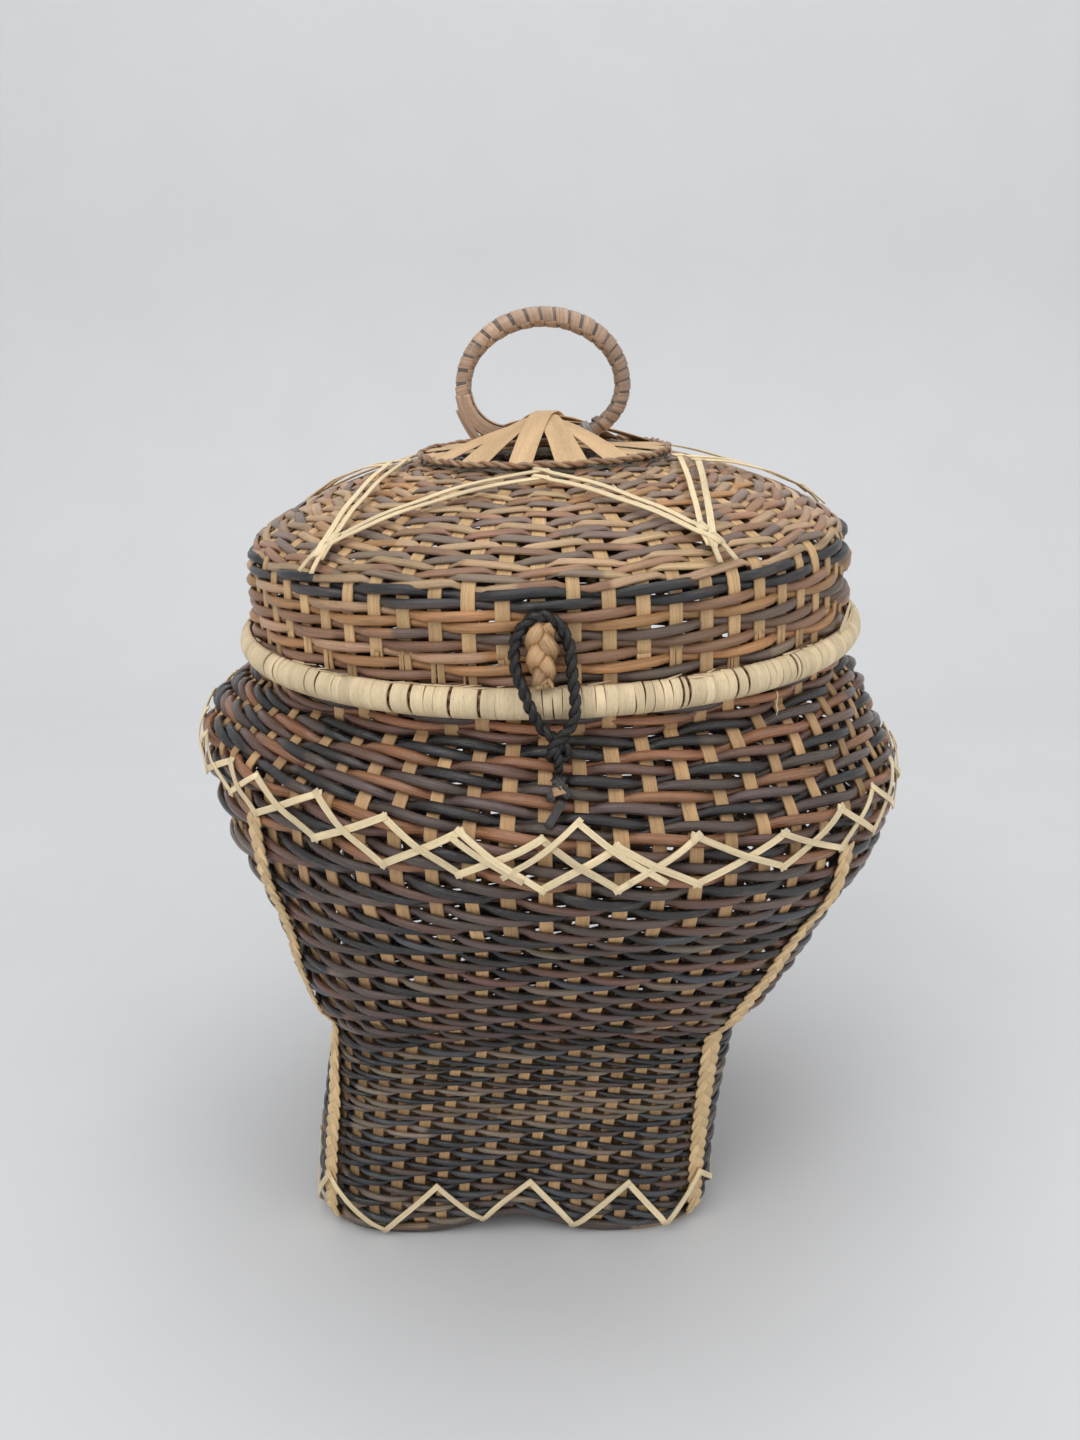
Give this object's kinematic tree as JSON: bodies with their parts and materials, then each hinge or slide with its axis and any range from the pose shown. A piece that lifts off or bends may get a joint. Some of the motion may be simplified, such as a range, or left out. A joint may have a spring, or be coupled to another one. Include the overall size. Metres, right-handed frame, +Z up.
{
  "type": "lidded wicker basket",
  "caption": "Wicker basket with a square foot, round belly and hinged domed lid with a ring handle, held shut by a cord loop on a toggle.",
  "frame": {"origin": "floor, under the middle of the round belly", "axes": "+Z up; the latch faces -Y and the hinge +Y; the foot stands a little towards -X"},
  "size_m": [0.3534, 0.3534, 0.4443],
  "materials": {
    "body_weave": "stained round reed, satin, dark brown to black",
    "stake_cane": "flat split cane, satin, tan",
    "tan_cane": "split cane with fine lengthwise grain, satin",
    "lid_weave": "round reed in orange brown, dark brown and grey brown, satin",
    "pale_cane": "pale cane strip, satin",
    "dark_cane": "black stained cane, satin",
    "handle_cane": "flat cane wrapping, glossy with age",
    "toggle_braid": "braided split cane, satin",
    "dark_cord": "twisted dark fibre cord, matte"
  },
  "bodies": {
    "basket": {"base_panel": "stake_cane", "base_rim": "tan_cane", "foot_wall": "body_weave", "flare_wall": "body_weave", "shoulder_wall": "body_weave", "neck_collar": "stake_cane", "mouth_hoop": "tan_cane", "corner_braid_1": "pale_cane", "corner_braid_2": "pale_cane", "corner_braid_3": "pale_cane", "corner_braid_4": "pale_cane", "lattice_strip_1": "pale_cane", "lattice_strip_2": "pale_cane", "foot_zigzag": "pale_cane", "latch_eye": "dark_cord", "latch_tail_1": "dark_cord", "latch_tail_2": "dark_cord", "hinge_bar_1": "tan_cane", "hinge_bar_2": "tan_cane"},
    "lid": {"lid_rim_core": "dark_cane", "lid_rim_binding": "pale_cane", "lid_side": "lid_weave", "lid_edge_cane": "dark_cane", "lid_dome": "lid_weave", "star_strip_1": "pale_cane", "star_strip_2": "pale_cane", "crown_strap_1": "tan_cane", "crown_strap_2": "tan_cane", "crown_strap_3": "tan_cane", "crown_strap_4": "tan_cane", "crown_strap_5": "tan_cane", "crown_strap_6": "tan_cane", "crown_strap_7": "tan_cane", "crown_strap_8": "tan_cane", "handle_core": "handle_cane", "handle_wrap": "handle_cane", "handle_tail_strip": "handle_cane", "latch_toggle": "toggle_braid", "hinge_eye_1": "tan_cane", "hinge_eye_2": "tan_cane"},
    "latch": {"latch_loop": "dark_cord"}
  },
  "joints": [
    {"name": "lid_hinge", "type": "hinge", "parent": "basket", "child": "lid", "pos_m": [-0.00009, 0.15297, 0.2945], "axis": [-0.9998, 0, -0.0192], "range_deg": [0, 105]},
    {"name": "latch_loop_swing", "type": "hinge", "parent": "basket", "child": "latch", "pos_m": [0.0015, -0.15853, 0.27545], "axis": [0.9998, 0, 0.0192], "range_deg": [0, 125]}
  ]
}
